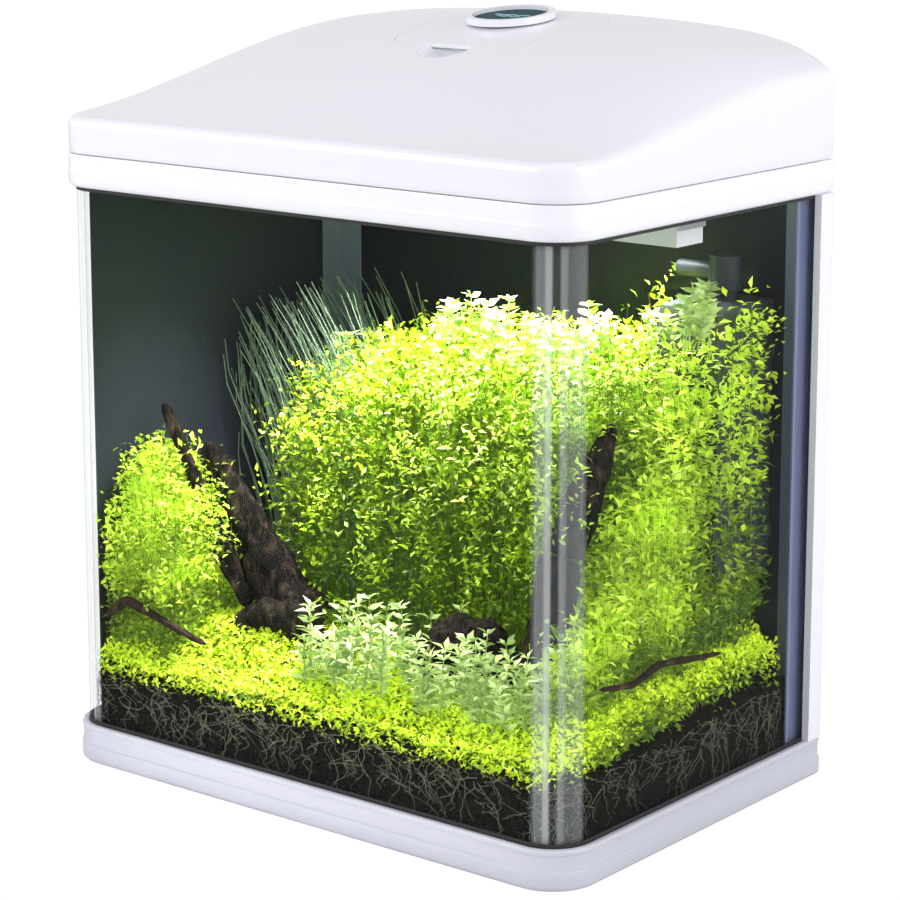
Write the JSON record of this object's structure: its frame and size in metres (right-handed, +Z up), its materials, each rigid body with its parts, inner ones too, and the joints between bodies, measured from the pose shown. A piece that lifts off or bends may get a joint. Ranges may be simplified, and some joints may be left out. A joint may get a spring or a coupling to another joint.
{
  "type": "aquarium with hood on a low stand",
  "caption": "Bent-glass aquarium on a low white base, planted, with a white domed hood that tilts up, a feeding flap, a lamp and an internal filter.",
  "frame": {"origin": "centre of the footprint, on the surface the feet stand on", "axes": "+Z up, +X to the right of someone facing the wide front pane, +Y to the back"},
  "size_m": [0.38, 0.262, 0.4548],
  "materials": {
    "white_shell": "moulded, low gloss",
    "white_lid": "moulded, satin",
    "foot_rubber": "matt",
    "foam_mat": "closed-cell foam",
    "clear_glass": "float glass, clear",
    "silicone": "tooled bead",
    "slate_film": "printed film, satin",
    "grey_trim": "extruded",
    "steel": "bright",
    "teal_enamel": "domed enamel",
    "lamp_shell": "moulded",
    "lamp_lens": "frosted",
    "board_metal": "plain",
    "led_phosphor": "phosphor",
    "filter_shell": "moulded",
    "sponge": "open-cell foam",
    "pump_shell": "moulded",
    "shaft_ceramic": "ground",
    "filter_pipe": "moulded",
    "cup_rubber": "translucent",
    "soil": "granular",
    "driftwood": "weathered",
    "twig_wood": "bark",
    "carpet_green": "leaf",
    "pale_green": "leaf",
    "deep_green": "leaf",
    "bright_green": "leaf",
    "reed_green": "leaf"
  },
  "bodies": {
    "tank": {"base_tray": "white_shell", "base_feet": "foot_rubber", "base_mat": "foam_mat", "glass_bottom": "clear_glass", "glass_front": "clear_glass", "glass_back": "clear_glass", "seal_bottom": "silicone", "seal_corners": "silicone", "rim_seals": "foot_rubber", "background_film": "slate_film", "corner_trims": "grey_trim", "post_left": "white_shell", "post_right": "white_shell", "hood_frame": "white_shell", "cable_grommet": "foot_rubber", "lid_hinge_pins": "steel", "lamp_housing": "lamp_shell", "lamp_lens": "lamp_lens", "lamp_gasket": "foot_rubber", "led_board": "board_metal", "led_chips": "led_phosphor", "lamp_end_caps": "lamp_shell", "lamp_hangers": "steel", "lamp_screws": "steel", "filter_case": "filter_shell", "filter_lid": "filter_shell", "filter_sponge": "sponge", "pump_body": "pump_shell", "pump_cover": "pump_shell", "impeller_shaft": "shaft_ceramic", "riser_pipe": "filter_pipe", "suction_cups": "cup_rubber", "soil_bed": "soil", "driftwood_trunk": "driftwood", "driftwood_stump": "driftwood", "twigs": "twig_wood", "carpet_plants": "carpet_green", "leafy_plants": "pale_green", "left_bush": "deep_green", "middle_bush": "bright_green", "right_bush": "bright_green", "reeds": "reed_green"},
    "lid": {"lid": "white_lid", "lid_hinge_straps": "white_shell", "lid_hinge_screws": "steel", "finger_cup": "white_lid", "flap_hinge_ears": "white_shell", "flap_pin": "steel"},
    "flap": {"feed_flap": "white_lid", "flap_hinge_saddles": "white_shell", "badge_rim": "white_lid", "badge_disc": "teal_enamel"},
    "impeller": {"impeller": "white_shell"},
    "nozzle": {"outlet_nozzle": "filter_pipe"},
    "dial": {"flow_dial": "pump_shell"}
  },
  "joints": [
    {"name": "lid_hinge", "type": "hinge", "parent": "tank", "child": "lid", "pos_m": [0, 0.1265, 0.3775], "axis": [-1, 0, 0], "range_deg": [0, 85]},
    {"name": "flap_hinge", "type": "hinge", "parent": "lid", "child": "flap", "pos_m": [0, 0.09, 0.44302], "axis": [-1, 0, 0], "range_deg": [0, 60]},
    {"name": "impeller_spin", "type": "hinge", "parent": "tank", "child": "impeller", "pos_m": [0.138, 0.078, 0.145], "axis": [0, 1, 0], "continuous": true},
    {"name": "nozzle_swivel", "type": "hinge", "parent": "tank", "child": "nozzle", "pos_m": [0.138, 0.095, 0.3], "axis": [0, 0, 1], "range_deg": [-30, 90]},
    {"name": "dial_turn", "type": "hinge", "parent": "tank", "child": "dial", "pos_m": [0.138, 0.071, 0.29], "axis": [0, 0, 1], "range_deg": [0, 270]}
  ]
}
